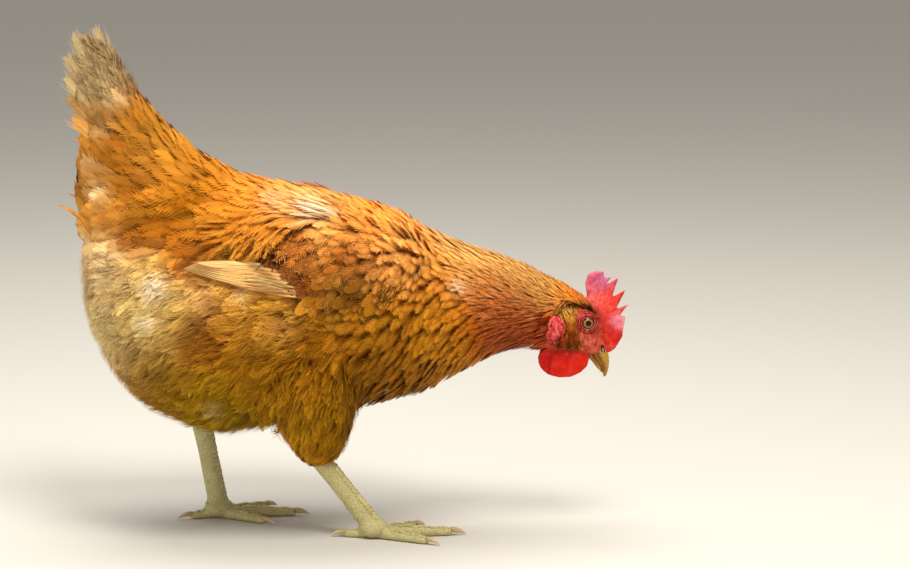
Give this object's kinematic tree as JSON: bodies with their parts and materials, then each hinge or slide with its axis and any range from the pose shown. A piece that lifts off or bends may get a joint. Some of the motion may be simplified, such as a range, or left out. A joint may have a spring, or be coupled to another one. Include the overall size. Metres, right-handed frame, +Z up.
{
  "type": "hen",
  "caption": "Life-size still model of a foraging laying hen with buff plumage, on two flat soles.",
  "frame": {"origin": "on the floor under the middle of the hen", "axes": "+X towards the bill, +Y towards the hen's left, +Z up"},
  "size_m": [0.4031, 0.1704, 0.3632],
  "materials": {
    "plumage": "smooth overlapping feathers, golden buff",
    "fluff": "soft downy feathers",
    "flight_feathers": "pale stiff quills",
    "red_skin": "soft waxy red skin",
    "scaly_skin": "overlapping leg scales",
    "horn": "polished horn",
    "eye": "wet and glossy"
  },
  "bodies": {
    "root": {"trunk": "fluff", "neck": "plumage", "head": "plumage", "tail": "plumage", "upper_bill": "horn", "lower_bill": "horn", "comb": "red_skin", "eye_right": "eye", "wattle_right": "red_skin", "ear_lobe_right": "red_skin", "wing_right": "plumage", "flight_feathers_right": "flight_feathers", "thigh_right": "fluff", "shank_right": "scaly_skin", "toe_inner_right": "scaly_skin", "claw_inner_right": "horn", "toe_middle_right": "scaly_skin", "claw_middle_right": "horn", "toe_outer_right": "scaly_skin", "claw_outer_right": "horn", "toe_hind_right": "scaly_skin", "claw_hind_right": "horn", "eye_left": "eye", "wattle_left": "red_skin", "ear_lobe_left": "red_skin", "wing_left": "plumage", "flight_feathers_left": "flight_feathers", "thigh_left": "fluff", "shank_left": "scaly_skin", "toe_inner_left": "scaly_skin", "claw_inner_left": "horn", "toe_middle_left": "scaly_skin", "claw_middle_left": "horn", "toe_outer_left": "scaly_skin", "claw_outer_left": "horn", "toe_hind_left": "scaly_skin", "claw_hind_left": "horn"}
  },
  "joints": []
}
